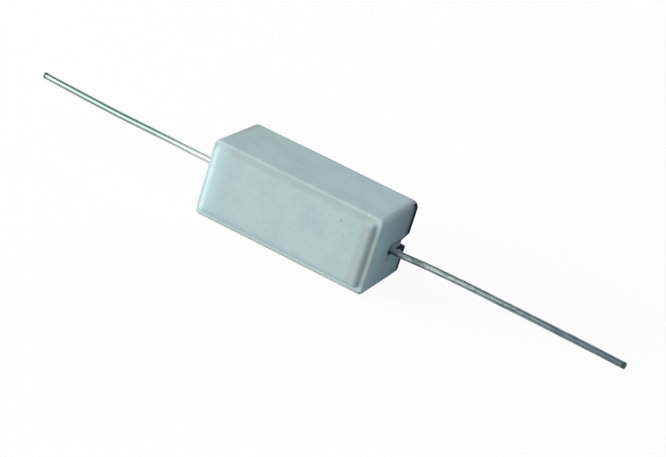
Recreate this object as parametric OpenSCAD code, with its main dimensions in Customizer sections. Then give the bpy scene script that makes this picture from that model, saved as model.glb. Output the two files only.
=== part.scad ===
// Axial power resistor in a ceramic case: a wire-wound element cast in cement inside a
// rectangular ceramic trough, with a tinned lead at each end. It lies on one long side wall,
// with the closed face of the trough to the front (-Y) and the leads along X.

/* [Case] */
// Length of the case along the leads, at the border of its closed face
case_length = 22.2; // [19:0.1:26]
// Height of the case across the leads, at the border of its closed face
case_height = 9.4; // [8:0.1:11]
// Depth of the case from the border of its closed face to its open rim
case_depth = 9.1; // [8.6:0.1:11]
// Draft of the four outer walls, which makes the case narrower at its open rim
draft_angle = 0.5; // [0.3:0.1:2]
// Thickness of each end wall at the closed face
end_wall = 1.8; // [1.2:0.1:2.5]
// Thickness of each long wall at the closed face
side_wall = 1.5; // [1.1:0.1:1.8]
// Thickness of the closed face behind its border
face_wall = 1.6; // [1:0.1:2]
// Radius of the four corners at the closed face
front_corner_radius = 0.6; // [0.3:0.05:1]
// Radius of the four corners at the open rim
rim_corner_radius = 0.85; // [0.4:0.05:1.1]
// Rounding between the border of the closed face and the walls
border_rounding = 0.35; // [0.1:0.05:0.5]
// Rounding on the outside of the open rim
rim_rounding = 0.2; // [0.1:0.05:0.35]
// Radius of the upright corners inside the trough
trough_corner_radius = 0.7; // [0.3:0.05:1]

/* [Raised panel] */
// Width of the flat border around the raised panel
border_width = 0.6; // [0.4:0.05:1]
// Height of the raised panel above its border
panel_rise = 0.38; // [0.2:0.05:0.6]
// Width over which the edge of the panel rolls over into its flat
panel_shoulder = 0.75; // [0.5:0.05:1.5]
// How far the panel sits to the right of the middle of the case (negative: to the left)
panel_shift = -0.1; // [-0.3:0.05:0.3]
// Radius of the corners of the panel's outline
panel_corner_radius = 0.6; // [0.3:0.05:1]

/* [Lead slots] */
// Clearance on each side of a lead in its slot through the end wall
slot_clearance = 0.05; // [0.02:0.01:0.15]
// How far each side of a slot flares out at the rim
notch_flare = 0.36; // [0.1:0.02:0.5]
// Depth of the flared mouth of a slot, from the rim
notch_depth = 1.5; // [0.8:0.1:2]

/* [Cement] */
// Depth of the cement's surface below the rim
cement_recess = 0.5; // [0.2:0.1:1]
// How far the cement in a slot stays back from the end face
slot_recess = 0.12; // [0.05:0.01:0.4]
// Least thickness of cement between the element and the trough
cement_cover = 0.48; // [0.3:0.02:0.8]
// Length of cement between each end cap and the end wall
end_cover = 1.4; // [0.6:0.1:2]

/* [Element] */
// Drop of the element and its leads below the middle of the case
element_drop = 0.12; // [0:0.05:0.4]
// Thickness of the sheet of the end caps
cap_wall = 0.3; // [0.2:0.05:0.4]
// Length of each end cap along the core
cap_length = 2.6; // [2:0.1:4]
// Diameter of the resistance wire
wire_diameter = 0.25; // [0.15:0.01:0.3]
// Distance from one turn of the winding to the next
winding_pitch = 0.75; // [0.5:0.05:1.2]
// Gap left between pieces that are pressed, wound or cast together
fit_gap = 0.02; // [0.01:0.01:0.04]

/* [Leads] */
// Diameter of the tinned leads
lead_diameter = 0.8; // [0.6:0.05:1]
// Length of the left lead outside the case, along the wire
left_lead_length = 25.2; // [20:0.1:38]
// Straight stretch of the left lead next to the case
left_straight = 13; // [8:0.5:15]
// Upward bend of the left lead, in degrees
left_bend = 1.8; // [0.5:0.1:4]
// Radius of the bend of the left lead
left_bend_radius = 100; // [20:5:110]
// Length of the right lead outside the case, along the wire
right_lead_length = 29.2; // [20:0.1:38]
// Straight stretch of the right lead next to the case
right_straight = 1.5; // [1:0.1:4]
// Upward bend of the right lead close to the case, in degrees
right_rise = 3.6; // [1:0.1:5]
// Radius of the upward bend of the right lead
right_rise_radius = 12; // [5:1:30]
// Downward sweep of the right lead after its upward bend, in degrees
right_fall = 4.2; // [1:0.1:5]
// Radius of the downward sweep of the right lead
right_fall_radius = 120; // [40:5:150]

/* [Hidden] */
$fn = 48;
// Steps around a corner disc of the case, and angle between the steps of its rounded edge
corner_steps = 32;
rounding_step = 22.5;
// Steps of the panel's rolled edge, and how deep the panel is rooted in the case
shoulder_steps = 4;
panel_root = 0.3;
least_corner_radius = 0.08;
// Steps in one turn of the winding, and corners of the wire's section there
turn_steps = 16;
wire_sides = 6;
// How far a cutting shape runs past the face that it opens
cut_past = 1;
// How far the ball between a bend and its straight stretches stands out of the wire
joint_rise = 0.004;
// Straight stretch between the two bends of the right lead
right_middle = 0.2;

face_y = -case_depth / 2;
rim_y = case_depth / 2;
// How far an outer wall has come in at depth y
function draft_inset(y) = (y - face_y) * tan(draft_angle);
rim_inset = draft_inset(rim_y);
// Height of the middle of the case over the middle of the side wall that it lies on
base_height = case_height / 2 - draft_inset(0);

// Slope of the panel's edge where it leaves the border, and radius of its roll
panel_slope = 2 * atan(panel_rise / panel_shoulder);
roll_radius = panel_shoulder / sin(panel_slope);

trough_length = case_length - 2 * end_wall;
trough_height = case_height - 2 * side_wall;
trough_floor_y = face_y + face_wall;
cement_y = rim_y - cement_recess;

slot_width = lead_diameter + 2 * slot_clearance;
notch_y = rim_y - notch_depth;
tongue_end_x = case_length / 2 - rim_inset - slot_recess;

element_radius = min(trough_height / 2 - element_drop, -trough_floor_y, cement_y) - cement_cover;
core_radius = element_radius - cap_wall - fit_gap;
core_length = trough_length - 2 * (end_cover + cap_wall);
cap_face_x = core_length / 2 + cap_wall;
// The winding's turns are drawn as chords, so they stand off by what a chord cuts off
winding_radius = (core_radius + fit_gap) / cos(180 / turn_steps) + wire_diameter / 2;
winding_length = core_length - 2 * (cap_length - cap_wall) - wire_diameter - 2 * fit_gap;
winding_turns = floor(winding_length / winding_pitch);
lead_root = case_length / 2 - cap_face_x;

// Turns the case from its own middle planes to the side wall that it lies on
module lie_on_side() {
    rotate([-draft_angle, 0, 0])
        translate([0, 0, base_height])
            children();
}

// Moves a shape from the middle of the case to the axis of the element
module on_element_axis() {
    translate([0, 0, -element_drop])
        children();
}

// Cylinder along X, centred on the origin
module bar(length, radius) {
    rotate([0, 90, 0])
        cylinder(h = length, r = radius, center = true);
}

// Disc that lies on the plane y = 0 and grows towards +Y, with its edge on that plane rounded
module corner_disc(radius, rounding) {
    edge = [for (a = [0:rounding_step:90])
        [radius - rounding + rounding * sin(a), rounding - rounding * cos(a)]];
    rotate([-90, 0, 0])
        rotate_extrude($fn = corner_steps)
            polygon(concat([[0, 0]], edge, [[0, rounding]]));
}

// One corner disc, tangent to the drafted walls where its rounded edge ends
module case_corner(side_x, side_z, y, radius, rounding, towards) {
    inset = draft_inset(y + towards * rounding) + radius;
    translate([side_x * (case_length / 2 - inset), y, side_z * (case_height / 2 - inset)])
        mirror([0, towards < 0 ? 1 : 0, 0])
            corner_disc(radius, rounding);
}

// Outer form of the case, with drafted walls and rounded edges
module case_block() {
    hull()
        for (side_x = [-1, 1], side_z = [-1, 1]) {
            case_corner(side_x, side_z, face_y, front_corner_radius, border_rounding, 1);
            case_corner(side_x, side_z, rim_y, rim_corner_radius, rim_rounding, -1);
        }
}

// Raised panel of the closed face, which rolls over from its border to its flat
module panel() {
    translate([panel_shift, 0, 0])
        hull()
            for (i = [0:shoulder_steps], side_x = [-1, 1], side_z = [-1, 1]) {
                a = panel_slope * (1 - i / shoulder_steps);
                roll = roll_radius * (sin(panel_slope) - sin(a));
                radius = max(panel_corner_radius - roll, least_corner_radius);
                inset = border_width + roll + radius;
                top = face_y - roll_radius * (cos(a) - cos(panel_slope));
                translate([side_x * (case_length / 2 - inset), top, side_z * (case_height / 2 - inset)])
                    rotate([-90, 0, 0])
                        cylinder(h = face_y + panel_root - top, r = radius, $fn = corner_steps);
            }
}

// Outline of the trough, seen along its depth
module trough_outline() {
    square([trough_length - 2 * trough_corner_radius, trough_height], center = true);
    square([trough_length, trough_height - 2 * trough_corner_radius], center = true);
    for (side_x = [-1, 1], side_z = [-1, 1])
        translate([side_x * (trough_length / 2 - trough_corner_radius),
                   side_z * (trough_height / 2 - trough_corner_radius)])
            circle(r = trough_corner_radius);
}

// Space inside the trough, from its floor to depth y
module trough_space(y) {
    translate([0, y, 0])
        rotate([90, 0, 0])
            linear_extrude(height = y - trough_floor_y)
                trough_outline();
}

// Outline of a lead slot across the end wall, as (height, depth), from the lead to depth y
module slot_outline(y) {
    circle(d = slot_width);
    translate([-slot_width / 2, 0])
        square([slot_width, y]);
}

// Flared mouth of a slot at the rim
module notch_outline() {
    mouth = slot_width / 2 + notch_flare;
    polygon([[-slot_width / 2, notch_y], [slot_width / 2, notch_y],
             [mouth, rim_y + cut_past], [-mouth, rim_y + cut_past]]);
}

// Extrudes an outline given as (height, depth) along X, out to both sides of the middle
module across_ends(half_length) {
    rotate([0, -90, 0])
        linear_extrude(height = 2 * half_length, center = true)
            children();
}

// Everything that the cement is cast around
module element_space() {
    on_element_axis() {
        bar(2 * cap_face_x + 2 * fit_gap, element_radius + fit_gap);
        bar(core_length, winding_radius + wire_diameter / 2 + fit_gap);
        bar(case_length + 2 * cut_past, lead_diameter / 2 + fit_gap);
    }
}

module ceramic_case() {
    color([0.72, 0.79, 0.78])
        lie_on_side()
            difference() {
                union() {
                    case_block();
                    panel();
                }
                trough_space(rim_y + cut_past);
                on_element_axis()
                    across_ends(case_length / 2 + cut_past) {
                        slot_outline(rim_y + cut_past);
                        notch_outline();
                    }
            }
}

module cement_fill() {
    color([0.62, 0.60, 0.56])
        lie_on_side()
            difference() {
                union() {
                    trough_space(cement_y);
                    on_element_axis()
                        across_ends(tongue_end_x)
                            slot_outline(notch_y);
                }
                element_space();
            }
}

module core_rod() {
    color([0.90, 0.88, 0.82])
        lie_on_side()
            on_element_axis()
                bar(core_length, core_radius);
}

// Point of the wire's surface: turned by angle a along the winding, and by angle b round the wire
function wire_point(a, b) =
    let (out = winding_radius + wire_diameter / 2 * cos(b))
    [(a / 360 - winding_turns / 2) * winding_pitch + wire_diameter / 2 * sin(b),
     out * cos(a), out * sin(a)];

module resistance_wire() {
    steps = winding_turns * turn_steps;
    points = [for (i = [0:steps], j = [0:wire_sides - 1])
        wire_point(i * 360 / turn_steps, j * 360 / wire_sides)];
    walls = [for (i = [0:steps - 1], j = [0:wire_sides - 1])
        let (k = (j + 1) % wire_sides)
        [i * wire_sides + j, i * wire_sides + k, (i + 1) * wire_sides + k, (i + 1) * wire_sides + j]];
    first_end = [for (j = [wire_sides - 1:-1:0]) j];
    last_end = [for (j = [0:wire_sides - 1]) steps * wire_sides + j];
    color([0.48, 0.45, 0.42])
        lie_on_side()
            on_element_axis()
                polyhedron(points, concat(walls, [first_end, last_end]));
}

// Cup pressed over the end of the core, drawn on the right end
module end_cap() {
    on_element_axis()
        difference() {
            translate([cap_face_x - cap_length / 2, 0, 0])
                bar(cap_length, element_radius);
            translate([core_length / 2 - cap_length / 2, 0, 0])
                bar(cap_length, core_radius + fit_gap);
        }
}

module left_end_cap() {
    color([0.70, 0.70, 0.68])
        lie_on_side()
            mirror([1, 0, 0])
                end_cap();
}

module right_end_cap() {
    color([0.70, 0.70, 0.68])
        lie_on_side()
            end_cap();
}

// Length of wire in a bend
function bend_length(angle, radius) = 2 * PI * radius * abs(angle) / 360;

// Bend of the wire that starts along +X and turns up, or down where the angle is negative
module wire_bend(angle, radius) {
    mirror([0, 0, angle < 0 ? 1 : 0])
        translate([0, 0, radius])
            rotate([90, 0, 0])
                rotate([0, 0, -90])
                    rotate_extrude(angle = abs(angle))
                        translate([radius, 0])
                            circle(d = lead_diameter);
}

// Ball that closes the seam between a bend and the stretch next to it
module wire_joint() {
    sphere(r = lead_diameter / 2 + joint_rise);
}

// Wire along +X made of stretches, each one [straight length, bend angle after it, bend radius]
module bent_wire(stretches, i = 0) {
    straight = stretches[i][0];
    angle = stretches[i][1];
    radius = stretches[i][2];
    translate([straight / 2, 0, 0])
        bar(straight, lead_diameter / 2);
    if (i < len(stretches) - 1)
        translate([straight, 0, 0]) {
            wire_joint();
            wire_bend(angle, radius);
            translate([radius * sin(abs(angle)), 0, sign(angle) * radius * (1 - cos(angle))])
                rotate([0, -angle, 0]) {
                    wire_joint();
                    bent_wire(stretches, i + 1);
                }
        }
}

module left_lead() {
    last = left_lead_length - left_straight - bend_length(left_bend, left_bend_radius);
    color([0.72, 0.75, 0.74])
        lie_on_side()
            on_element_axis()
                mirror([1, 0, 0])
                    translate([cap_face_x, 0, 0])
                        bent_wire([[lead_root + left_straight, left_bend, left_bend_radius],
                                   [last, 0, 0]]);
}

module right_lead() {
    last = right_lead_length - right_straight - bend_length(right_rise, right_rise_radius)
        - bend_length(right_fall, right_fall_radius);
    color([0.72, 0.75, 0.74])
        lie_on_side()
            on_element_axis()
                translate([cap_face_x, 0, 0])
                    bent_wire([[lead_root + right_straight, right_rise, right_rise_radius],
                               [right_middle, -right_fall, right_fall_radius],
                               [last, 0, 0]]);
}

ceramic_case();
cement_fill();
core_rod();
resistance_wire();
left_end_cap();
right_end_cap();
left_lead();
right_lead();
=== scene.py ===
"""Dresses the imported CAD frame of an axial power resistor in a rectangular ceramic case.

The case, its cement and its two leads are made again as fine meshes that stand for their CAD
nodes. The element inside the cement keeps its CAD meshes and gets its finishes here. Sizes are
in metres, in the frame of the CAD: the part lies on one long side, with its closed face to the
front (-Y) and its leads along X.
"""

import math

import bpy
import numpy as np
from bpy.props import FloatProperty, FloatVectorProperty, PointerProperty
from bpy.types import Operator, Panel, PropertyGroup
from mathutils import Matrix, Vector


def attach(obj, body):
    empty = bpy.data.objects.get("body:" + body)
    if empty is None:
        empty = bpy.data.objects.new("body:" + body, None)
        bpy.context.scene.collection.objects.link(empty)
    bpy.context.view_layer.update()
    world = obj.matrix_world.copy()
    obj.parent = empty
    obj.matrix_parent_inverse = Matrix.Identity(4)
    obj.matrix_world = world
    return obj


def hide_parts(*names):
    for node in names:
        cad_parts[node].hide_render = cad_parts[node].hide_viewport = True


bl_info = {
    "name": "Ceramic Resistor Dresser",
    "version": (1, 0, 0),
    "blender": (4, 5, 0),
    "location": "3D View > Sidebar > Resistor",
    "description": "Fine meshes and finishes for an axial resistor in a ceramic case",
    "category": "Object",
}

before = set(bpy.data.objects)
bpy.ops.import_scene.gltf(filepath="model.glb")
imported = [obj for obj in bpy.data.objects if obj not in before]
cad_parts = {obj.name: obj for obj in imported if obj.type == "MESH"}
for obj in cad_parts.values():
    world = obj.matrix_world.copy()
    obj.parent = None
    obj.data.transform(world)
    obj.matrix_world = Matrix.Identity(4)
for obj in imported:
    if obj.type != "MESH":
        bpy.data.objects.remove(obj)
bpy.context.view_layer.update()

MM = 0.001
BODY = "root"
# Small faults of the case, as (place, radius) in millimetres in the upright case
CHIPS = (
    ((8.95, -4.62, 4.8), 0.34),
    ((8.35, -4.64, 4.8), 0.28),
    ((-10.3, 4.64, 4.8), 0.34),
    ((3.1, 4.7, -4.8), 0.4),
    ((-11.05, -1.9, 4.68), 0.3),
)
# Dark marks on the case, as (place, radius, strength)
MARKS = (
    ((11.1, -0.28, -1.25), 0.34, 0.6),
    ((6.3, -4.93, 2.7), 0.2, 0.28),
    ((4.9, -4.93, 2.65), 0.18, 0.22),
    ((6.94, -4.6, -3.94), 0.2, 0.4),
    ((7.1, -4.93, 1.2), 0.16, 0.22),
    ((-2.4, -4.93, -1.9), 0.12, 0.2),
)
# Tin of each lead: tarnish with painted shade, mottling, green and the depth of its two dark lines
# of painted shade are shares from 0 to 1. A line's place goes from 0 in the middle of the wire to
# 1 at its edge.
LEFT_LOOK = {
    "tarnish_and_shade": 0.07, "mottling": 0.2, "green": 0.65, "line": 0.58,
    "narrowing": 1.0, "depth": 0.85, "start": 0.5,
}
# The right lead's larger tarnish share is painted shade: the same tin as the left lead, made
# darker
RIGHT_LOOK = {
    "tarnish_and_shade": 0.38, "mottling": 0.6, "green": 0.0, "line": 0.74,
    "narrowing": 1.9, "depth": 0.75, "start": 1.0,
}
# Direction across a lead, from the bottom of its front to the top of its back
ACROSS_LEAD = (0.0, 0.443, 0.897)
# Where the finish of a lead starts and stops changing, from the middle of the part
LEAD_STRETCH = (13 * MM, 36 * MM)
# Nipped tip of a lead, as (millimetres from the tip, share of the radius)
NIP = ((0.45, 1.0), (0.2, 1.0), (0.07, 0.985), (0.015, 0.93), (0.0, 0.84), (0.0, 0.4))
NIP_REACH = 0.5 * MM
LEAD_SIDES = 32
LEAD_STEP = 0.35 * MM
# How far a lead is from round, as a share of its radius
LEAD_UNEVEN = 0.012
# Room that a grid leaves round a piece
MARGIN = 0.3 * MM
FLOOR_HALF = 2.0
FLOOR_GAP = 0.02 * MM
# Share of glow in the floor that the camera sees
FLOOR_GLOW = 0.93
LAMP_DISTANCE = 0.6
# Lamps, as (name, way from the part, size, tone)
LAMPS = (
    ("key", (-0.79, -0.6, 0.13), 0.3, (1.0, 1.0, 0.99)),
    ("right", (0.97, 0.2, 0.12), 0.4, (0.42, 0.98, 1.55)),
    ("back", (0.05, 0.99, 0.1), 0.4, (1.0, 1.0, 1.0)),
)


# --- Sizes and colours ---


def length(name, description, millimetres):
    """A length property, given in millimetres."""
    return FloatProperty(
        name=name, description=description, default=millimetres * MM, precision=5, unit="LENGTH"
    )


def angle(name, description, degrees):
    """An angle property, given in degrees."""
    return FloatProperty(
        name=name,
        description=description,
        default=math.radians(degrees),
        subtype="ANGLE",
        unit="ROTATION",
    )


def colour(name, description, value):
    """A colour property, given as red, green and blue on the screen from 0 to 255."""
    return FloatVectorProperty(
        name=name,
        description=description,
        default=[screen_to_linear(v / 255) for v in value],
        size=3,
        min=0,
        max=1,
        subtype="COLOR",
    )


def screen_to_linear(value):
    """Light that a screen gives for a value from 0 to 1."""
    if value <= 0.04045:
        return value / 12.92
    return ((value + 0.055) / 1.055) ** 2.4


class CaseSizes(PropertyGroup):
    """Sizes of the ceramic case."""

    length: length("Length", "Along the leads, at the border of the closed face", 22.2)
    height: length("Height", "Across the leads, at the border of the closed face", 9.4)
    depth: length("Depth", "From the border of the closed face to the open rim", 9.1)
    draft: angle("Draft", "Lean of the outer walls, narrower at the rim", 0.5)
    end_wall: length("End wall", "Thickness of each end wall", 1.8)
    side_wall: length("Side wall", "Thickness of each long wall", 1.5)
    face_wall: length("Face wall", "Thickness of the closed face", 1.6)
    front_corner: length("Front corner", "Corner radius at the closed face", 0.6)
    rim_corner: length("Rim corner", "Corner radius at the open rim", 0.85)
    border_rounding: length("Border rounding", "Edge between border and walls", 0.35)
    rim_rounding: length("Rim rounding", "Edge between rim and walls", 0.2)
    trough_corner: length("Trough corner", "Upright corners inside the trough", 0.7)
    border: length("Border", "Width of the flat border round the panel", 0.6)
    panel_rise: length("Panel rise", "Height of the panel above its border", 0.38)
    panel_shoulder: length("Panel shoulder", "Width of the panel's rolled edge", 0.75)
    panel_shift: length("Panel shift", "How far right of the middle the panel sits", -0.1)
    panel_corner: length("Panel corner", "Corner radius of the panel's outline", 0.6)
    slot_width: length("Slot width", "Width of the lead slots", 0.9)
    notch_flare: length("Notch flare", "How far a slot's mouth flares on each side", 0.36)
    notch_depth: length("Notch depth", "Depth of the flared mouth from the rim", 1.5)
    cement_recess: length("Cement recess", "Depth of the cement below the rim", 0.5)
    slot_recess: length("Slot recess", "How far slot cement stays inside the end", 0.12)


class ElementSizes(PropertyGroup):
    """Sizes of the wound element and its leads."""

    drop: length("Drop", "Drop of the element below the middle of the case", 0.12)
    cap_radius: length("Cap radius", "Outer radius of the end caps", 2.47)
    cap_face: length("Cap face", "From the middle to the outside of a cap", 7.9)
    fit_gap: length("Fit gap", "Gap between pieces cast together", 0.02)
    lead_diameter: length("Lead diameter", "Diameter of the tinned wire", 0.8)
    left_length: length("Left lead", "Wire outside the case on the left", 25.2)
    left_straight: length("Left straight", "Straight stretch on the left", 13)
    left_bend: angle("Left bend", "Upward bend of the left lead", 1.8)
    left_radius: length("Left radius", "Radius of the left bend", 100)
    right_length: length("Right lead", "Wire outside the case on the right", 29.2)
    right_straight: length("Right straight", "Straight stretch on the right", 1.5)
    right_rise: angle("Right rise", "Upward bend near the case", 3.6)
    right_rise_radius: length("Rise radius", "Radius of the upward bend", 12)
    right_fall: angle("Right fall", "Downward sweep after the rise", 4.2)
    right_fall_radius: length("Fall radius", "Radius of the downward sweep", 120)


class PartColours(PropertyGroup):
    """Colours of the finishes, as they look in plain light."""

    ceramic: colour("Ceramic", "Pale, slightly green fired ceramic", (184, 203, 197))
    ceramic_pale: colour("Ceramic pale", "Paler clouds of the ceramic", (195, 211, 204))
    ceramic_speck: colour("Ceramic specks", "Dark specks in the ceramic", (120, 128, 122))
    # Painted shade: darkens the rim's edge, the ends and the slots of the case, the cement in the
    # slots and the lower side of the lead roots; the case's dark marks use it too
    shade_and_grime: colour("Soot", "Grime on the rim and round the slots", (16, 33, 50))
    # Painted shade: brown shade on the panel's right roll and along the foot of its top edge
    panel_shade: colour("Dust", "Brown dust at the foot of the panel", (111, 80, 38))
    # Pale chips, and painted light: a painted highlight on the panel's left edge and lightened
    # shade on its lower edge
    chipped_and_lit: colour("Bare ceramic", "Fresh and rubbed ceramic", (214, 238, 235))
    cement: colour("Cement", "Grey sandy cement", (150, 153, 152))
    cement_sand: colour("Cement sand", "Pale grains of the cement", (182, 184, 180))
    tin: colour("Tin", "Dull tin on the leads", (230, 242, 234))
    tin_green: colour("Green tin", "Slightly green stretch of the left lead", (180, 222, 194))
    # Also the painted shade that darkens the right lead
    tin_dark: colour("Tarnish", "Tarnish on the tin", (66, 88, 96))
    # Painted shade: the dark lines along the edges of the leads and their dark tips
    wire_shade: colour("Drawn lines", "Dark lines along the wire", (44, 58, 54))
    # Dull grey of each lead's root outside the case, and of the cement's pores
    root: colour("Lead root", "Cement stain on the root of a lead", (126, 136, 142))
    core: colour("Core", "Fired core of the element", (222, 214, 196))
    alloy: colour("Alloy", "Resistance wire", (120, 112, 104))
    cap: colour("Cap", "Plated steel of the end caps", (178, 178, 172))


class StudioSettings(PropertyGroup):
    """Floor, backdrop, lamps and sky."""

    floor: colour("Floor", "Pale floor", (165, 175, 186))
    backdrop: colour("Backdrop", "What camera and gloss see of floor and sky", (255, 255, 255))
    key: FloatProperty(name="Key", description="Light level of the key lamp", default=1.2)
    right: FloatProperty(name="Right", description="Light level of the right lamp", default=0.12)
    back: FloatProperty(name="Back", description="Light level of the back lamp", default=0.5)
    fill: FloatProperty(name="Fill", description="Light level of the sky", default=0.68)


# --- Shapes as distances: negative inside, zero on the surface ---


def rounded_rectangle(x, z, half_x, half_z, radius):
    """Distance to a rectangle with round corners."""
    beyond_x = np.abs(x) - half_x + radius
    beyond_z = np.abs(z) - half_z + radius
    return both_rounded(beyond_x - radius, beyond_z - radius, radius)


def both_rounded(a, b, radius):
    """What two shapes share, with the edge between them rounded."""
    a, b = a + radius, b + radius
    corner = np.hypot(np.maximum(a, 0), np.maximum(b, 0))
    return corner + np.minimum(np.maximum(a, b), 0) - radius


def merged(a, b, width):
    """Two shapes together, with a soft hollow of about that width between them."""
    share = np.clip(0.5 + 0.5 * (b - a) / width, 0, 1)
    return b + (a - b) * share - width * share * (1 - share)


def carved(shape, tool, width):
    """A shape less a tool, with a soft edge of about that width."""
    return -merged(-shape, tool, width)


def wander(x, y, z, swell, seed):
    """Smooth waviness from about -1 to 1, whose swells are about that far apart."""
    dice = np.random.default_rng(seed)
    total = 0
    waves = 7
    for _ in range(waves):
        way = dice.normal(size=3)
        way *= 2 * math.pi / swell * dice.uniform(0.6, 1.7) / np.linalg.norm(way)
        total = total + np.sin(x * way[0] + y * way[1] + z * way[2] + dice.uniform(0, 6.3))
    return total / math.sqrt(waves) / 1.6


def graded(low, high, marks, fine, coarse, reach):
    """Grid planes from low to high, fine millimetres apart near the marks and coarse far off."""
    fine, coarse, reach = fine * MM, coarse * MM, reach * MM
    planes = [low]
    while planes[-1] < high:
        away = min(abs(planes[-1] - mark) for mark in marks)
        planes.append(planes[-1] + min(coarse, fine + max(0.0, away - reach) / 4))
    return np.array(planes)


def crossing_cells(value, planes):
    """Points where a grid's edges cross the surface, and the four cells round each edge."""
    inside = value < 0
    shape = np.array(value.shape)
    points, rings = [], []
    for axis in range(3):
        low = [slice(None)] * 3
        high = [slice(None)] * 3
        low[axis] = slice(0, -1)
        high[axis] = slice(1, None)
        low, high = tuple(low), tuple(high)
        edge = np.argwhere(inside[low] != inside[high])
        at_low = value[low][tuple(edge.T)]
        at_high = value[high][tuple(edge.T)]
        point = np.stack([planes[i][edge[:, i]] for i in range(3)], axis=1)
        step = planes[axis][edge[:, axis] + 1] - planes[axis][edge[:, axis]]
        point[:, axis] += step * at_low / (at_low - at_high)
        ring = []
        for back_b, back_c in ((1, 1), (0, 1), (0, 0), (1, 0)):
            cell = edge.copy()
            cell[:, (axis + 1) % 3] -= back_b
            cell[:, (axis + 2) % 3] -= back_c
            ring.append(np.ravel_multi_index(tuple(cell.T), shape))
        ring = np.stack(ring, axis=1)
        flipped = at_low > 0
        ring[flipped] = ring[flipped][:, ::-1]
        points.append(point)
        rings.append(ring)
    return np.concatenate(points), np.concatenate(rings)


def settled(distance, points, reach, rounds=5):
    """Points moved onto the surface, each by no more than reach in a round."""
    nudge = 0.004 * MM
    for _ in range(rounds):
        slope = np.stack(
            [
                distance(*(points + nudge * way).T) - distance(*(points - nudge * way).T)
                for way in np.eye(3)
            ],
            axis=1,
        ) / (2 * nudge)
        steepness = np.maximum((slope**2).sum(1, keepdims=True), 0.05)
        move = slope * distance(*points.T)[:, None] / steepness
        points = points - np.clip(move, -reach, reach)
    return points


def surface_points(distance, planes):
    """Points and four-sided faces of the surface of a distance, one point in each cell."""
    value = distance(*np.meshgrid(*planes, indexing="ij", sparse=True))
    crossings, rings = crossing_cells(value, planes)
    cells, corners = np.unique(rings, return_inverse=True)
    corners = corners.reshape(rings.shape)
    total = np.zeros((len(cells), 3))
    count = np.zeros(len(cells))
    for k in range(4):
        np.add.at(total, corners[:, k], crossings)
        np.add.at(count, corners[:, k], 1)
    points = settled(distance, total / count[:, None], 0.03 * MM)
    return points, corners


def laid_down(points, case):
    """Points of the upright case, leaned by the draft and set on the long wall it lies on."""
    rise = case.height / 2 - draft_inset(case, 0.0)
    x, y, z = points.T
    z = z + rise
    lean = case.draft
    return np.stack(
        [x, y * math.cos(lean) + z * math.sin(lean), z * math.cos(lean) - y * math.sin(lean)],
        axis=1,
    )


def smooth_piece(name, points, faces):
    """A smooth-shaded object with these points and faces."""
    mesh = bpy.data.meshes.new(name)
    mesh.from_pydata(points.tolist(), [], [list(face) for face in faces])
    mesh.validate()
    mesh.shade_smooth()
    piece = bpy.data.objects.new(name, mesh)
    bpy.context.scene.collection.objects.link(piece)
    return piece


def paint(piece, name, values):
    """Keeps a mask on the points of a piece, for its finish to read."""
    mask = piece.data.attributes.new(name, "FLOAT", "POINT")
    mask.data.foreach_set("value", values.astype(np.float32))


def place(piece, material, slot, *nodes):
    """Gives a piece its finish, and makes it stand for CAD nodes on the fixed body."""
    piece.data.materials.clear()
    piece.data.materials.append(material)
    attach(piece, BODY)
    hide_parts(*nodes)


# --- Case ---


def draft_inset(case, y):
    """How far an outer wall has come in at depth y."""
    return (y + case.depth / 2) * math.tan(case.draft)


def tapered(case, x, y, z):
    """A place in the straight-walled block, brought in by the draft."""
    inset = draft_inset(case, y)
    return x * (1 - inset / (case.length / 2)), y, z * (1 - inset / (case.height / 2))


def lead_slot(case, element, y, z):
    """Distance to the slot through both end walls, with its flared mouth at the rim."""
    across = np.abs(z + element.drop)
    slot = np.hypot(across, np.minimum(y, 0)) - case.slot_width / 2
    notch_y = case.depth / 2 - case.notch_depth
    flare = case.notch_flare / case.notch_depth
    mouth = (across - case.slot_width / 2 - flare * (y - notch_y)) / math.hypot(1, flare)
    return merged(slot, np.maximum(mouth, notch_y - y), 0.2 * MM)


def inner_walls(case, x, z):
    """Distance to the upright walls of the trough."""
    half_x = case.length / 2 - case.end_wall
    half_z = case.height / 2 - case.side_wall
    return rounded_rectangle(x, z, half_x, half_z, case.trough_corner)


def trough(case, x, y, z):
    """Distance to the space inside the case."""
    walls = inner_walls(case, x, z)
    floor = -case.depth / 2 + case.face_wall - y
    return both_rounded(walls, floor, 0.5 * MM)


def panel_inward(case, x, z):
    """How far a place lies inside the outline of the panel."""
    return -rounded_rectangle(
        x - case.panel_shift,
        z,
        case.length / 2 - case.border,
        case.height / 2 - case.border,
        case.panel_corner,
    )


def raised_panel(case, x, y, z):
    """Distance to the raised panel, whose edge rolls over from the border to the flat."""
    inward = panel_inward(case, x, z)
    slope = 2 * math.atan(case.panel_rise / case.panel_shoulder)
    radius = case.panel_shoulder / math.sin(slope)
    up = -case.depth / 2 - y
    rolled = np.hypot(np.maximum(case.panel_shoulder - inward, 0), up - case.panel_rise + radius)
    root = y + case.depth / 2 - case.panel_rise
    return np.maximum(rolled - radius, root)


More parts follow.
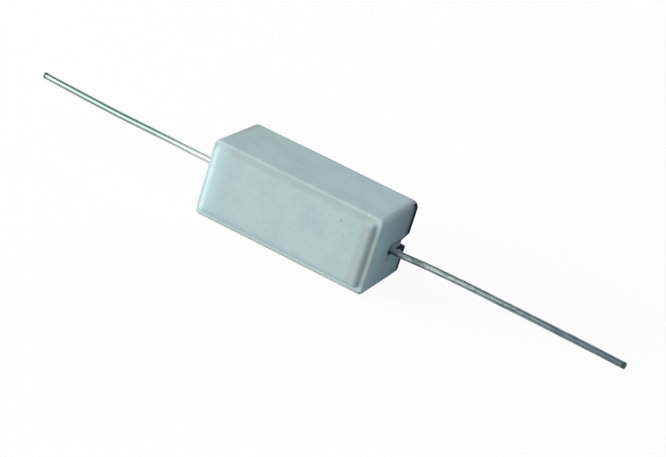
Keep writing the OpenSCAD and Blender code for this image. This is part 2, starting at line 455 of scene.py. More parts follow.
def case_distance(case, element, x, y, z):
    """Distance to the case in its straight-walled block."""
    half_depth = case.depth / 2
    corner = case.front_corner + (case.rim_corner - case.front_corner) * np.clip(
        (y + half_depth) / case.depth, 0, 1
    )
    swell = 0.012 * MM * (1.35 + wander(x, y, z, 9 * MM, 3))
    walls = rounded_rectangle(x, z, case.length / 2, case.height / 2, corner) + swell
    block = both_rounded(walls, -half_depth - y, case.border_rounding)
    block = both_rounded(block, y - half_depth + swell, case.rim_rounding)
    panel = raised_panel(case, x, y, z) + 0.6 * swell
    shape = merged(block, panel, 0.14 * MM)
    real_x, real_y, real_z = tapered(case, x, y, z)
    shape = carved(shape, trough(case, real_x, real_y, real_z), 0.25 * MM)
    shape = carved(shape, lead_slot(case, element, real_y, real_z), 0.16 * MM)
    for place, radius in CHIPS:
        shape = carved(shape, ball(x, y, z, place, radius), 0.04 * MM)
    return shape


def ball(x, y, z, place, radius):
    """Distance to a ball. Its place and radius are in millimetres."""
    away = (x - place[0] * MM) ** 2 + (y - place[1] * MM) ** 2 + (z - place[2] * MM) ** 2
    return np.sqrt(away) - radius * MM


def fading(distance, reach):
    """A mask that is 1 at no distance and fades out over its reach."""
    return np.exp(-((np.maximum(distance, 0) / reach) ** 2))


def painted_shade_mask(case, element, x, y, z):
    """Painted shade: on the ends towards the rim, on the rim's edge and round and in the slots."""
    half_depth = case.depth / 2
    walls = rounded_rectangle(x, z, case.length / 2, case.height / 2, case.rim_corner)
    edge = np.maximum(half_depth - y, -2.5 * walls - 0.1 * MM)
    long_side = np.abs(z) * case.length > np.abs(x) * case.height
    # Painted shade: a dark line along the rim's outer edge, wider on the ends
    end_rim = np.maximum(
        fading(edge - 0.68 * MM, 0.2 * MM), 0.3 * fading(edge - 0.62 * MM, 0.9 * MM)
    )
    end_rim = end_rim * (0.4 + 0.6 * np.clip((z + 2 * MM) / MM, 0, 1))
    rim = np.where(long_side, 0.5 * fading(edge - 0.24 * MM, 0.1 * MM), end_rim)
    at_end = fading(case.length / 2 - np.abs(x), 0.8 * MM)
    # Painted shade: the end faces get darker towards the rim
    end = 0.62 * at_end * np.clip((y + half_depth) / case.depth, 0, 1) ** 0.75
    mouth = np.abs(lead_slot(case, element, y, z))
    # Painted shade round the slot mouths, and nearly black inside the notches
    slot = at_end * np.where(y > -MM, 0.75 * fading(mouth - 0.05 * MM, 0.2 * MM), 0)
    inside = fading(np.maximum(case.length / 2 - case.end_wall - np.abs(x), 0), 0.1 * MM)
    inside = inside * (1 - 0.5 * np.clip((half_depth - y) / (0.5 * MM) - 1.4, 0, 1))
    inside = np.where((mouth < 0.15 * MM) & (np.abs(z) < 2 * MM), inside, 0)
    smear = ball(np.abs(x), y, z, (11.1, 4.1, -0.8), 0.7)
    inside = np.maximum(inside, fading(smear, 0.3 * MM))
    slot = slot * (0.8 + 0.2 * wander(x, y, z, 2 * MM, 5))
    return np.clip(np.maximum.reduce([rim, slot, inside]) + end, 0, 1)


def panel_shade_mask(case, x, y, z):
    """Brown painted shade on the panel's rolled edge and at its foot, on the right and along the
    top.
    """
    from_right = case.length / 2 - case.border + case.panel_shift - x
    from_top = case.height / 2 - case.border - z
    right = 0.15 * fading(np.abs(from_right - 0.7 * MM) - 0.5 * MM, 0.45 * MM)
    right = right + 0.2 * fading(np.abs(from_right + 0.25 * MM) - 0.05 * MM, 0.3 * MM)
    top = 0.18 * fading(np.abs(from_top - 0.05 * MM) - 0.05 * MM, 0.4 * MM)
    right = right * np.clip(from_top / MM + 0.1, 0, 1)
    top = top * np.clip(from_right / MM, 0, 1)
    return np.where(y < -case.depth / 2 + 0.1 * MM, np.maximum(right, top), 0)


def pale_chips_and_light_mask(case, x, y, z):
    """Where the ceramic is pale: in the chips, its own colour, and in painted light on the left
    and lower edges.
    """
    nearest = np.minimum.reduce([ball(x, y, z, *chip) for chip in CHIPS])
    chipped = 0.25 * fading(nearest - 0.02 * MM, 0.05 * MM)
    # Painted highlight along the panel's left edge
    from_strip = x + case.length / 2 - 0.8 * MM
    reach = np.where(from_strip < 0, 0.35 * MM, 1.3 * MM)
    left = 0.44 * fading(np.abs(from_strip) - 0.1 * MM, reach)
    # Painted light on the panel's lower edge, which faces down
    from_bottom = np.abs(z + case.height / 2 - case.border - 0.1 * MM)
    lower = 0.42 * fading(from_bottom - 0.05 * MM, 0.32 * MM)
    painted_light = np.where(y < -case.depth / 2 + 0.2 * MM, np.maximum(left, lower), 0)
    return np.maximum(chipped, painted_light)


def case_planes(case, element):
    """Grid planes for the case, close together where it has edges."""
    half_length, half_height, half_depth = case.length / 2, case.height / 2, case.depth / 2
    panel_end = case.border + case.panel_shoulder / 3
    ends = [half_length - 0.2 * MM, half_length - panel_end, half_length - case.end_wall]
    sides = [half_height - 0.2 * MM, half_height - panel_end, half_height - case.side_wall]
    mouth = case.slot_width / 2 + case.notch_flare
    halves = (case.slot_width / 2, mouth)
    slot = [side * half - element.drop for side in (-1, 1) for half in halves]
    across = sides + [-side for side in sides] + slot
    rims = [-half_depth - 0.2 * MM, half_depth - 0.4 * MM, -0.4 * MM]
    low_y = -half_depth - case.panel_rise - MARGIN
    x = graded(0.0, half_length + MARGIN, ends, fine=0.1, coarse=0.6, reach=0.4)
    z = graded(
        -half_height - MARGIN, half_height + MARGIN, across, fine=0.1, coarse=0.3, reach=0.25
    )
    y = graded(low_y, half_depth + MARGIN, rims, fine=0.09, coarse=0.35, reach=0.4)
    return np.concatenate([-x[:0:-1], x]), y, z


def make_case(case, element):
    """The ceramic case, with drafted walls, raised panel, trough and lead slots."""

    def distance(x, y, z):
        return case_distance(case, element, x, y, z)

    points, faces = surface_points(distance, case_planes(case, element))
    placed = np.stack(tapered(case, *points.T), axis=1)
    piece = smooth_piece("case_ceramic", laid_down(placed, case), faces)
    # Painted shade on the rim's edge, the ends and the slots
    paint(piece, "shade_and_grime", painted_shade_mask(case, element, *points.T))
    # Painted shade on the panel's right roll and along its top foot
    paint(piece, "panel_shade", panel_shade_mask(case, *points.T))
    # Pale chips, and painted light on the panel's left and lower edges
    paint(piece, "chipped_and_lit", pale_chips_and_light_mask(case, *points.T))
    return piece


# --- Cement ---


def cement_distance(case, element, x, y, z):
    """Distance to the cement, cast round the element and into the slots."""
    half_depth = case.depth / 2
    walls = inner_walls(case, x, z)
    creep = 0.22 * MM * np.exp(np.minimum(walls, 0) / (0.35 * MM))
    swell = 0.07 * MM * wander(x, y, z, 5 * MM, 11) + 0.03 * MM * wander(x, y, z, 1.3 * MM, 12)
    surface = half_depth - case.cement_recess + creep + swell
    floor = -half_depth + case.face_wall
    block = np.maximum(both_rounded(walls, floor - y, 0.5 * MM), y - surface)
    end = case.length / 2 - draft_inset(case, half_depth) - case.slot_recess
    fill = np.hypot(z + element.drop, np.minimum(y, 0)) - case.slot_width / 2
    top = y - (half_depth - case.notch_depth) - 0.6 * swell
    tongue = both_rounded(np.maximum(fill, top), np.abs(x) - end - 0.5 * swell, 0.08 * MM)
    return merged(block, tongue, 0.25 * MM)


def element_bore(element, x, y, z):
    """Distance to the space that the element and its leads take up in the cement."""
    from_axis = np.hypot(y, z + element.drop)
    gap = element.fit_gap
    cap = np.maximum(from_axis - element.cap_radius - gap, np.abs(x) - element.cap_face - gap)
    return np.minimum(cap, from_axis - element.lead_diameter / 2 - gap)


def make_cement(case, element):
    """The cement, with an uneven open surface that creeps up the walls."""

    def distance(x, y, z):
        return np.maximum(
            cement_distance(case, element, x, y, z), -element_bore(element, x, y, z)
        )

    half_length, half_height, half_depth = case.length / 2, case.height / 2, case.depth / 2
    end = half_length - case.end_wall
    side = half_height - case.side_wall
    slot = [-element.drop - case.slot_width / 2, -element.drop + case.slot_width / 2]
    across = [-side, side] + slot
    tops = [half_depth - case.cement_recess, half_depth - case.notch_depth, -0.4 * MM]
    low_y = -half_depth + case.face_wall - MARGIN
    x = graded(
        0.0, half_length + MARGIN, [end, half_length], fine=0.1, coarse=0.3, reach=0.5
    )
    z = graded(-side - MARGIN, side + MARGIN, across, fine=0.1, coarse=0.25, reach=0.3)
    y = graded(low_y, half_depth + MARGIN, tops, fine=0.1, coarse=0.35, reach=0.4)
    points, faces = surface_points(distance, (np.concatenate([-x[:0:-1], x]), y, z))
    return smooth_piece("cement", laid_down(points, case), faces)


# --- Leads ---


def bent_route(stretches):
    """Places along a wire that starts along +X, and its slopes: (distance, x, z, slope)."""
    places = []
    x = z = gone = slope = 0.0
    for straight, bend, radius in stretches:
        pieces = [(straight, 0.0)]
        if bend:
            pieces.append((radius * abs(bend), bend / (radius * abs(bend))))
        for run, curve in pieces:
            count = max(1, round(run / LEAD_STEP))
            for _ in range(count):
                places.append((gone, x, z, slope))
                part = run / count
                slope += curve * part / 2
                x += part * math.cos(slope)
                z += part * math.sin(slope)
                slope += curve * part / 2
                gone += part
    places.append((gone, x, z, slope))
    return places


def lead_points(places, radius, seed):
    """Rings of points round a bent wire, with a nipped end at its tip."""
    dice = np.random.default_rng(seed)
    sway = dice.uniform(0, 6.3, 4)
    total = places[-1][0]
    rings = []
    stations = [place + (1.0,) for place in places if place[0] < total - NIP_REACH]
    last = places[-1]
    for back, share in NIP:
        x = last[1] - back * MM * math.cos(last[3])
        z = last[2] - back * MM * math.sin(last[3])
        stations.append((total - back * MM, x, z, last[3], share))
    for gone, x, z, slope, share in stations:
        free = min(1.0, max(0.0, (gone - 5 * MM) / (4 * MM)))
        hold = min(1.0, max(0.0, (total - gone) / (3 * MM)))
        sideways = 0.05 * MM * free * math.sin(gone / (3.6 * MM) + sway[0])
        upward = 0.035 * MM * free * hold * math.sin(gone / (4.7 * MM) + sway[1])
        near_tip = max(0.0, 1 - (total - gone) / NIP_REACH)
        ring = []
        for k in range(LEAD_SIDES):
            turn = 2 * math.pi * k / LEAD_SIDES
            uneven = 1 + LEAD_UNEVEN * math.sin(2 * turn + gone / (2.3 * MM) + sway[2])
            out = radius * share * uneven / (1 + LEAD_UNEVEN)
            lean = 0.16 * radius * (math.cos(turn + sway[3]) - 1) * near_tip
            up = upward + out * math.cos(turn)
            ring.append(
                (
                    x - up * math.sin(slope) + lean * math.cos(slope),
                    sideways + out * math.sin(turn),
                    z + up * math.cos(slope) + lean * math.sin(slope),
                )
            )
        rings.append(ring)
    return np.array(rings)


def make_lead(name, case, element, side, stretches, seed):
    """One tinned lead, from the face of its cap to its tip."""
    sides = LEAD_SIDES
    rings = lead_points(bent_route(stretches), element.lead_diameter / 2, seed)
    count = len(rings)
    points = rings.reshape(-1, 3)
    middle = [rings[0].mean(0), rings[-1].mean(0)]
    points = np.concatenate([points, middle])
    points[:, 0] = side * (points[:, 0] + element.cap_face)
    points[:, 2] -= element.drop
    faces = []
    for i in range(count - 1):
        for k in range(sides):
            a, b = i * sides + k, i * sides + (k + 1) % sides
            faces.append((a, b, b + sides, a + sides))
    root, tip = count * sides, count * sides + 1
    for k in range(sides):
        after = (k + 1) % sides
        faces.append((root, after, k))
        faces.append((tip, (count - 1) * sides + k, (count - 1) * sides + after))
    if side > 0:
        faces = [face[::-1] for face in faces]
    piece = smooth_piece(name, laid_down(points, case), faces)
    from_tip = np.linalg.norm(points - points[tip], axis=1) - element.lead_diameter / 2
    # Painted shade: the nipped tip is painted dark
    paint(piece, "cut", 0.85 * fading(from_tip - 0.03 * MM, 0.1 * MM))
    return piece


# --- Finishes ---


def feed(socket, value):
    """Links a value to a socket if it is a socket itself, and sets it if it isn't."""
    if isinstance(value, bpy.types.NodeSocket):
        socket.id_data.links.new(value, socket)
    elif socket.type == "RGBA":
        socket.default_value = (*value, 1.0)
    else:
        socket.default_value = value


def feed_all(made, **values):
    """Feeds the inputs of a node that the values name, with _ for a space."""
    for key, value in values.items():
        feed(made.inputs[key.replace("_", " ")], value)


def node(tree, kind, where, **settings):
    """A shader node of that kind. Settings that name an input feed it, the rest set the node."""
    made = tree.nodes.new("ShaderNode" + kind)
    made.location = where
    for key, value in settings.items():
        if hasattr(made, key):
            setattr(made, key, value)
        else:
            feed_all(made, **{key: value})
    return made


def maths(tree, where, operation, *values, kind="Math"):
    """The outcome of an operation on numbers or sockets."""
    made = node(tree, kind, where, operation=operation)
    for socket, value in zip(made.inputs, values):
        feed(socket, value)
    return made.outputs["Value"]


def mixed(tree, where, factor, first, second):
    """A colour mixed from two colours or sockets by a value socket."""
    made = node(tree, "Mix", where, data_type="RGBA")
    for key, value in (("Factor", factor), ("A", first), ("B", second)):
        feed(next(s for s in made.inputs if s.name == key and s.enabled), value)
    return next(s for s in made.outputs if s.enabled)


def mixed_shaders(tree, where, share, first, second):
    """A shader node mixed from two by the share of the second."""
    made = node(tree, "MixShader", where)
    for socket, value in zip(made.inputs, (share, first.outputs[0], second.outputs[0])):
        feed(socket, value)
    return made


def spread(tree, where, value, low, high, to_low=0.0, to_high=1.0):
    """A value moved from one range to another, smoothly and kept within it."""
    made = node(tree, "MapRange", where, interpolation_type="SMOOTHSTEP")
    feed_all(made, Value=value, From_Min=low, From_Max=high, To_Min=to_low, To_Max=to_high)
    return made.outputs["Result"]


def band(tree, where, value, middle, half, level):
    """A mask of that level where a value is near the middle, with soft edges."""
    shifted = maths(tree, where, "SUBTRACT", value, middle)
    away = maths(tree, (where[0] + 150, where[1]), "ABSOLUTE", shifted)
    return spread(tree, (where[0] + 300, where[1]), away, 0.5 * half, 1.3 * half, level, 0.0)


def mark(tree, where, place, radius, strength):
    """A mask round a place in the upright case. Place and radius are in millimetres."""
    middle = laid_down(np.array([place]) * MM, bpy.context.scene.resistor_case)[0]
    away = maths(tree, (-300, 900), "DISTANCE", where, middle, kind="VectorMath")
    return spread(tree, (0, 900), away, 0.3 * radius * MM, radius * MM, strength, 0.0)


def painted(tree, where, name):
    """The mask of that name that is painted on the points of a piece."""
    return node(tree, "Attribute", where, attribute_name=name).outputs["Fac"]


def from_middle(tree, where, vector):
    """How far a place is from the middle of the part along the leads."""
    split = node(tree, "SeparateXYZ", (where[0] - 150, where[1]), Vector=vector)
    return maths(tree, where, "ABSOLUTE", split.outputs["X"])


def new_group(name, inputs, outputs):
    """An empty shader node group with those sockets, its input's outputs and its output node."""
    group = bpy.data.node_groups.new(name, "ShaderNodeTree")
    for label, kind, value in inputs:
        socket = group.interface.new_socket(label, in_out="INPUT", socket_type="NodeSocket" + kind)
        if value is not None:
            socket.default_value = value
    for label in outputs:
        group.interface.new_socket(label, in_out="OUTPUT", socket_type="NodeSocketFloat")
    entry = group.nodes.new("NodeGroupInput")
    entry.location = (-900, 0)
    leave = group.nodes.new("NodeGroupOutput")
    leave.location = (700, 0)
    return group, entry.outputs, leave


def grain_group():
    """Fine and broad unevenness of a fired, cast or plated surface, as values and heights."""
    group, entry, leave = new_group(
        "Grain",
        [
            ("Vector", "Vector", None),
            ("Fine Scale", "Float", 5000.0),
            ("Broad Scale", "Float", 500.0),
            ("Roughness", "Float", 0.55),
        ],
        ["Fine", "Broad", "Height"],
    )
    shared = {"Vector": entry["Vector"], "Roughness": entry["Roughness"]}
    fine, broad = (
        node(group, "TexNoise", (-600, y), Detail=detail, Scale=entry[scale], **shared)
        for y, detail, scale in ((200, 3.0, "Fine Scale"), (-200, 4.0, "Broad Scale"))
    )
    fine, broad = fine.outputs["Fac"], broad.outputs["Fac"]
    height = maths(group, (-200, 0), "MULTIPLY_ADD", fine, 0.6, broad)
    feed_all(leave, Fine=fine, Broad=broad, Height=height)


def specks_group():
    """Sparse round specks, as a mask from 0 to 1. Spread is the share of cells with one."""
    group, entry, leave = new_group(
        "Specks",
        [
            ("Vector", "Vector", None),
            ("Scale", "Float", 1500.0),
            ("Size", "Float", 0.18),
            ("Spread", "Float", 0.1),
        ],
        ["Mask"],
    )
    cells = node(group, "TexVoronoi", (-600, 100), feature="F1")
    feed_all(cells, Vector=entry["Vector"], Scale=entry["Scale"])
    pick = node(group, "SeparateColor", (-350, -100), Color=cells.outputs["Color"])
    chosen = maths(group, (-150, -100), "LESS_THAN", pick.outputs["Red"], entry["Spread"])
    heart = maths(group, (-400, 350), "MULTIPLY", entry["Size"], 0.4)
    near = spread(group, (-150, 200), cells.outputs["Distance"], heart, entry["Size"], 1.0, 0.0)
    feed_all(leave, Mask=maths(group, (200, 0), "MULTIPLY", near, chosen))


def shared_groups():
    """The node groups that the finishes share, built once."""
    if "Grain" not in bpy.data.node_groups:
        grain_group()
        specks_group()
    return bpy.data.node_groups


def group_node(tree, name, where, **values):
    """The outputs of a node that places a shared group, with its own values."""
    return node(tree, "Group", where, node_tree=shared_groups()[name], **values).outputs


def grained(tree, vector, fine, broad, roughness=0.55):
    """The outputs of the shared grain at those two scales."""
    scales = {"Fine_Scale": fine, "Broad_Scale": broad}
    return group_node(tree, "Grain", (-900, 200), Vector=vector, Roughness=roughness, **scales)


def empty_tree(owner, kind):
    """The emptied node tree of a material or world, and what its surface is fed to."""
    owner.use_nodes = True
    tree = owner.node_tree
    tree.nodes.clear()
    return tree, node(tree, "Output" + kind, (900, 0)).inputs["Surface"]


def new_material(name):
    """A material with only its surface shader, and its object coordinates."""
    material = bpy.data.materials.new(name)
    tree, seen = empty_tree(material, "Material")
    surface = node(tree, "BsdfPrincipled", (600, 0))
    feed(seen, surface.outputs[0])
    return material, tree, surface, node(tree, "TexCoord", (-1200, 0)).outputs["Object"]


def raise_surface(surface, height, strength, distance):
    """Bumps the surface by a height."""
    bump = node(surface.id_data, "Bump", (350, -350), Strength=strength, Distance=distance)
    feed_all(bump, Height=height)
    feed_all(surface, Normal=bump.outputs["Normal"])


def ceramic_material(colours):
    """Pale fired ceramic with faint clouds, fine grain and a few dark specks."""
    material, tree, surface, where = new_material("fired_ceramic")
    grain = grained(tree, where, 9000.0, 300.0)
    specks = group_node(
        tree, "Specks", (-900, -200), Vector=where, Scale=1300.0, Size=0.13, Spread=0.1
    )
    clouds = spread(tree, (-600, 200), grain["Broad"], 0.3, 0.7)
    base = mixed(tree, (-300, 200), clouds, colours.ceramic, colours.ceramic_pale)
    dusty = spread(tree, (-600, 0), grain["Fine"], 0.3, 0.7, 0.0, 0.1)
    base = mixed(tree, (-100, 200), dusty, base, colours.ceramic_speck)
    faint = spread(tree, (-600, -200), specks["Mask"], 0.0, 1.0, 0.0, 0.3)
    base = mixed(tree, (100, 200), faint, base, colours.ceramic_speck)
    # Painted shade on the rim's edge, the ends and the slots
    shade_and_grime = painted(tree, (-300, 500), "shade_and_grime")
    base = mixed(tree, (250, 300), shade_and_grime, base, colours.shade_and_grime)
    for spot in MARKS:
        base = mixed(tree, (300, 600), mark(tree, where, *spot), base, colours.shade_and_grime)
    # Brown painted shade on the panel's right roll and top foot
    base = mixed(tree, (350, 500), painted(tree, (-300, 800), "panel_shade"), base, colours.panel_shade)
    # Pale chips, and painted light on the panel's left and lower edges
    base = mixed(tree, (400, 400), painted(tree, (-300, 700), "chipped_and_lit"), base, colours.chipped_and_lit)
    rough = spread(tree, (-300, -100), grain["Broad"], 0.3, 0.7, 0.6, 0.7)
    dull = maths(tree, (0, -100), "MAXIMUM", rough, shade_and_grime)
    feed_all(surface, Base_Color=base, Roughness=dull, Specular_IOR_Level=0.12)
    raise_surface(surface, grain["Fine"], 0.3, 0.01 * MM)
    return material


def cement_material(colours):
    """Sandy grey cement with pale grains and small pores, with painted shade near the ends of the
    case, in the slots.
    """
    material, tree, surface, where = new_material("sandy_cement")
    grain = grained(tree, where, 6000.0, 900.0, 0.7)
    sand, pores = (
        group_node(tree, "Specks", (-900, y), Vector=where, Scale=scale, Size=size, Spread=share)
        for y, scale, size, share in ((-100, 3500.0, 0.35, 0.3), (-400, 1200.0, 0.2, 0.2))
    )
    clouds = spread(tree, (-600, 200), grain["Broad"], 0.35, 0.65, 0.0, 0.6)
    base = mixed(tree, (-300, 200), clouds, colours.cement, colours.cement_sand)
    base = mixed(tree, (-100, 200), sand["Mask"], base, colours.cement_sand)
    base = mixed(tree, (100, 200), pores["Mask"], base, colours.root)
    outward = from_middle(tree, (-700, -700), where)
    # Painted shade: the cement gets darker near the ends, in the slots
    slot_shade = spread(tree, (-500, -700), outward, 9.2 * MM, 10.6 * MM, 0.0, 0.5)
    base = mixed(tree, (250, 200), slot_shade, base, colours.shade_and_grime)
    rough = spread(tree, (-300, -100), grain["Fine"], 0.3, 0.7, 0.8, 0.95)
    feed_all(surface, Base_Color=base, Roughness=rough)
    height = maths(tree, (0, -350), "SUBTRACT", grain["Height"], pores["Mask"])
    raise_surface(surface, height, 0.8, 0.06 * MM)
    return material


def edge_shade_lines(tree, across, outward, look):
    """A mask of two dark lines of painted shade along a lead, above and below its middle."""
    drift = spread(tree, (-900, -500), outward, *LEAD_STRETCH, 1.0, look["narrowing"])
    inward = maths(tree, (-850, -600), "MULTIPLY", across, drift)
    above = band(tree, (-750, -600), inward, look["line"], 0.27, look["depth"])
    below = band(tree, (-750, -800), inward, -look["line"], 0.25, 0.75 * look["depth"])
    fresh = spread(tree, (-500, -500), outward, 12 * MM, 22 * MM, look["start"], 1.0)
    lines = maths(tree, (-250, -700), "MAXIMUM", above, below)
    return maths(tree, (-150, -600), "MULTIPLY", lines, fresh)


def tin_material(name, colours, grey_root_to, look):
    """Dull tin over copper wire, tarnished in patches and dull grey where it leaves the cement.
    Painted shade darkens its two edges, its tip and the lower side of that grey root.
    """
    material, tree, surface, where = new_material(name)
    mottling, tarnish_and_shade = look["mottling"], look["tarnish_and_shade"]
    normal = where.node.outputs["Normal"]
    across = maths(tree, (-1000, -600), "DOT_PRODUCT", normal, ACROSS_LEAD, kind="VectorMath")
    outward = from_middle(tree, (-850, -300), where)
    drawn = node(
        tree, "Mapping", (-1050, 300), vector_type="POINT", Scale=(0.3, 1.0, 1.0), Vector=where
    )
    grain = grained(tree, drawn.outputs[0], 9000.0, 2600.0, 0.6)
    green = band(tree, (-800, 700), outward, 27 * MM, 9 * MM, look["green"])
    base = mixed(tree, (-400, 600), green, colours.tin, colours.tin_green)
    patches = spread(tree, (-600, 200), grain["Broad"], 0.4, 0.62, 0.0, mottling)
    base = mixed(tree, (-300, 200), patches, base, colours.tin_dark)
    # Tarnish, and on the right lead painted shade, growing away from the case
    tarnished_and_shaded = spread(tree, (-500, 500), outward, *LEAD_STRETCH, tarnish_and_shade, 2.2 * tarnish_and_shade)
    base = mixed(tree, (-200, 400), tarnished_and_shaded, base, colours.tin_dark)
    dots = spread(tree, (-600, 0), grain["Fine"], 0.5, 0.7, 0.0, mottling)
    base = mixed(tree, (-100, 200), dots, base, colours.tin_dark)
    # Painted shade: two dark lines along the edges of the wire
    lines = edge_shade_lines(tree, across, outward, look)
    base = mixed(tree, (0, 300), lines, base, colours.wire_shade)
    # Dull grey root, 1.3 mm out of the case, darker on its lower side as painted shade
    ragged = maths(tree, (-700, -300), "MULTIPLY_ADD", grain["Broad"], 0.9 * MM, outward)
    grey_root = spread(tree, (-500, -300), ragged, grey_root_to, grey_root_to + 0.5 * MM, 1.0, 0.0)
    shaded = spread(tree, (-450, -900), across, -0.6, -0.2, 0.85, 0.0)
    root_tone = mixed(tree, (0, 100), shaded, colours.root, colours.shade_and_grime)
    base = mixed(tree, (100, 200), grey_root, base, root_tone)
    # Painted shade on the nipped tip
    base = mixed(tree, (250, 200), painted(tree, (100, 500), "cut"), base, colours.wire_shade)
    metal = spread(tree, (-300, -300), grey_root, 0.0, 1.0, 0.6, 0.1)
    rough = spread(tree, (-300, -100), grain["Broad"], 0.3, 0.7, 0.34, 0.5)
    feed_all(surface, Base_Color=base, Metallic=metal, Roughness=rough)
    raise_surface(surface, grain["Height"], 0.15, 0.01 * MM)
    return material


def plain_material(name, first, second, metallic, rough_low, rough_high):
    """A finish of one stuff with clouds and grain, for the pieces inside the cement."""
    material, tree, surface, where = new_material(name)
    grain = grained(tree, where, 7000.0, 800.0)
    clouds = spread(tree, (-600, 200), grain["Broad"], 0.3, 0.7, 0.0, 0.6)
    base = mixed(tree, (-300, 200), clouds, first, second)
    rough = spread(tree, (-300, -100), grain["Fine"], 0.3, 0.7, rough_low, rough_high)
    feed_all(surface, Base_Color=base, Metallic=metallic, Roughness=rough)
    raise_surface(surface, grain["Height"], 0.3, 0.02 * MM)
    return material


# --- Stage ---


def backdrop_share(tree, where):
    """1 for rays of the camera, gloss and glass, and 0 for the light on the object."""
    path = node(tree, "LightPath", where).outputs
    share = path["Is Camera Ray"]
    for step, kind in ((200, "Is Glossy Ray"), (400, "Is Transmission Ray")):
        share = maths(tree, (where[0] + step, where[1]), "MAXIMUM", share, path[kind])
    return share


def floor_material(studio):
    """Pale floor that keeps the shadow and looks white to the camera."""
    material = bpy.data.materials.new("floor_paper")
    tree, surface = empty_tree(material, "Material")
    paper = node(tree, "BsdfDiffuse", (200, 100), Color=studio.floor)
    seen = node(tree, "BsdfDiffuse", (200, -50), Color=studio.backdrop)
    glow = node(tree, "Emission", (200, -200), Color=studio.backdrop, Strength=1.0)
    white = mixed_shaders(tree, (450, -100), FLOOR_GLOW, seen, glow)
    floor = mixed_shaders(tree, (700, 0), backdrop_share(tree, (-500, 300)), paper, white)
    feed(surface, floor.outputs[0])
    return material


def make_floor(studio):
    """A wide floor just under the part."""
    corners = np.array([(-1, -1, 0), (1, -1, 0), (1, 1, 0), (-1, 1, 0)]) * FLOOR_HALF
    corners[:, 2] = -FLOOR_GAP
    floor = smooth_piece("floor", corners, [(0, 1, 2, 3)])
    floor.data.materials.append(floor_material(studio))


def make_sky(studio):
    """A sky that lights the part from the front and left, and looks white to the camera."""
    world = bpy.data.worlds.new("studio_sky")
    bpy.context.scene.world = world
    tree, surface = empty_tree(world, "World")
    way = node(tree, "TexCoord", (-900, 0)).outputs["Generated"]
    bright = Vector((-0.3, -0.3, 0.9)).normalized()
    turn = maths(tree, (-700, 0), "DOT_PRODUCT", way, bright, kind="VectorMath")
    level = spread(tree, (-500, 0), turn, -0.3, 1.0)
    tone = mixed(tree, (-200, 0), level, (0.1, 0.13, 0.15), (0.96, 1.02, 1.14))
    light = node(tree, "Background", (200, 100), Strength=studio.fill, Color=tone)
    seen = node(tree, "Background", (200, -100), Strength=1.0, Color=studio.backdrop)
    sky = mixed_shaders(tree, (600, 0), backdrop_share(tree, (-500, 400)), light, seen)
    feed(surface, sky.outputs[0])


def make_lamp(name, way, size, level, tone):
    """A square soft lamp that shines on the part from that way."""
    way = Vector(way).normalized()
    data = bpy.data.lights.new(name, "AREA")
    data.size = size
    data.energy = level * math.pi**2 * LAMP_DISTANCE**2
    data.color = tone
    lamp = bpy.data.objects.new(name, data)
    lamp.location = way * LAMP_DISTANCE
    lamp.rotation_euler = way.to_track_quat("Z", "Y").to_euler()
    bpy.context.scene.collection.objects.link(lamp)


def make_camera():
    """The camera at the photograph's viewing angle."""
    data = bpy.data.cameras.new("camera")
    data.sensor_fit = "HORIZONTAL"
    data.sensor_width = 36
    data.lens = 140.54
    data.clip_start = 0.005
    camera = bpy.data.objects.new("camera", data)
    right = Vector((0.845261, 0.458731, 0.274063))
    up = Vector((-0.421193, 0.256335, 0.869991))
    back = right.cross(up)
    turn = Matrix((right, up, back)).transposed()
    place = Vector((99.155, -246.717, 122.618)) * MM
    camera.matrix_world = Matrix.Translation(place) @ turn.to_4x4()
    bpy.context.scene.collection.objects.link(camera)
    bpy.context.scene.camera = camera


# --- Operators, panel and run ---


class RESISTOR_OT_case(Operator):
    """Make the ceramic case"""

    bl_idname = "resistor.case"
    bl_label = "Ceramic Case"

    def execute(self, context):
        scene = context.scene
        piece = make_case(scene.resistor_case, scene.resistor_element)
        finish = ceramic_material(scene.resistor_colours)
        place(piece, finish, "case_ceramic", "ceramic_case")
        return {"FINISHED"}


class RESISTOR_OT_cement(Operator):
    """Make the cement in the case and its slots"""

    bl_idname = "resistor.cement"
    bl_label = "Cement"

    def execute(self, context):
        scene = context.scene
        piece = make_cement(scene.resistor_case, scene.resistor_element)
        finish = cement_material(scene.resistor_colours)
        place(piece, finish, "cement", "cement_fill")
        return {"FINISHED"}


class RESISTOR_OT_leads(Operator):
    """Make the two tinned leads"""

    bl_idname = "resistor.leads"
    bl_label = "Leads"

    def execute(self, context):
        scene = context.scene
        case, element = scene.resistor_case, scene.resistor_element
        grey_root_to = case.length / 2 + 1.3 * MM
        root = case.length / 2 - element.cap_face
        left_bend = element.left_bend * element.left_radius
        left = [
            (root + element.left_straight, element.left_bend, element.left_radius),
            (element.left_length - element.left_straight - left_bend, 0.0, 1.0),
        ]
        rise = element.right_rise * element.right_rise_radius
        fall = element.right_fall * element.right_fall_radius
        right = [
            (root + element.right_straight, element.right_rise, element.right_rise_radius),
            (element.lead_diameter / 4, -element.right_fall, element.right_fall_radius),
            (element.right_length - element.right_straight - rise - fall, 0.0, 1.0),
        ]
        for name, side, stretches, seed, look, cad in (
            ("lead_left", -1, left, 21, LEFT_LOOK, "left_lead"),
            ("lead_right", 1, right, 22, RIGHT_LOOK, "right_lead"),
        ):
            piece = make_lead(name, case, element, side, stretches, seed)
            finish = tin_material("tin_" + cad, scene.resistor_colours, grey_root_to, look)
            place(piece, finish, "tinned_wire", cad)
        return {"FINISHED"}


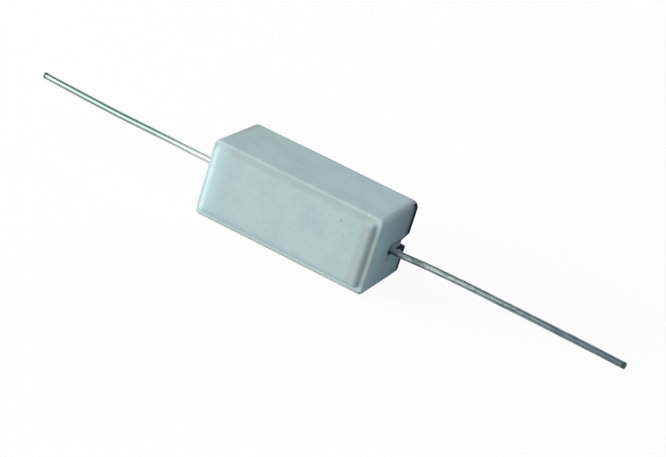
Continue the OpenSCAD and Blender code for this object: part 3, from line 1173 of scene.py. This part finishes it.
class RESISTOR_OT_element(Operator):
    """Give the core, winding and end caps their finishes"""

    bl_idname = "resistor.element"
    bl_label = "Element"

    def execute(self, context):
        colours = context.scene.resistor_colours
        core = plain_material("core_ceramic", colours.core, colours.ceramic_pale, 0.0, 0.6, 0.75)
        alloy = plain_material("wire_alloy", colours.alloy, colours.tin_dark, 1.0, 0.35, 0.5)
        cap = plain_material("cap_steel", colours.cap, colours.tin_dark, 1.0, 0.3, 0.45)
        for name, finish in (
            ("core_rod", core),
            ("resistance_wire", alloy),
            ("left_end_cap", cap),
            ("right_end_cap", cap),
        ):
            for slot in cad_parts[name].material_slots:
                slot.material = finish
        return {"FINISHED"}


class RESISTOR_OT_stage(Operator):
    """Set up the floor, sky, lamps and camera"""

    bl_idname = "resistor.stage"
    bl_label = "Stage"

    def execute(self, context):
        studio = context.scene.resistor_studio
        context.scene.view_settings.view_transform = "Standard"
        make_floor(studio)
        make_sky(studio)
        for name, way, size, tone in LAMPS:
            make_lamp(name, way, size, getattr(studio, name), tone)
        make_camera()
        return {"FINISHED"}


class RESISTOR_PT_sidebar(Panel):
    """Lists the steps that dress the resistor"""

    bl_idname = "RESISTOR_PT_sidebar"
    bl_label = "Resistor"
    bl_space_type = "VIEW_3D"
    bl_region_type = "UI"
    bl_category = "Resistor"

    def draw(self, context):
        for step in STEPS:
            self.layout.operator(step.bl_idname)


STEPS = (
    RESISTOR_OT_case,
    RESISTOR_OT_cement,
    RESISTOR_OT_leads,
    RESISTOR_OT_element,
    RESISTOR_OT_stage,
)
SETTINGS = {
    "resistor_case": CaseSizes,
    "resistor_element": ElementSizes,
    "resistor_colours": PartColours,
    "resistor_studio": StudioSettings,
}


def register():
    for kind in (*SETTINGS.values(), *STEPS, RESISTOR_PT_sidebar):
        bpy.utils.register_class(kind)
    for name, kind in SETTINGS.items():
        setattr(bpy.types.Scene, name, PointerProperty(type=kind))


def unregister():
    for name in SETTINGS:
        delattr(bpy.types.Scene, name)
    for kind in reversed((*SETTINGS.values(), *STEPS, RESISTOR_PT_sidebar)):
        bpy.utils.unregister_class(kind)


def main():
    register()
    bpy.ops.resistor.case()
    bpy.ops.resistor.cement()
    bpy.ops.resistor.leads()
    bpy.ops.resistor.element()
    bpy.ops.resistor.stage()


if __name__ == "__main__":
    main()
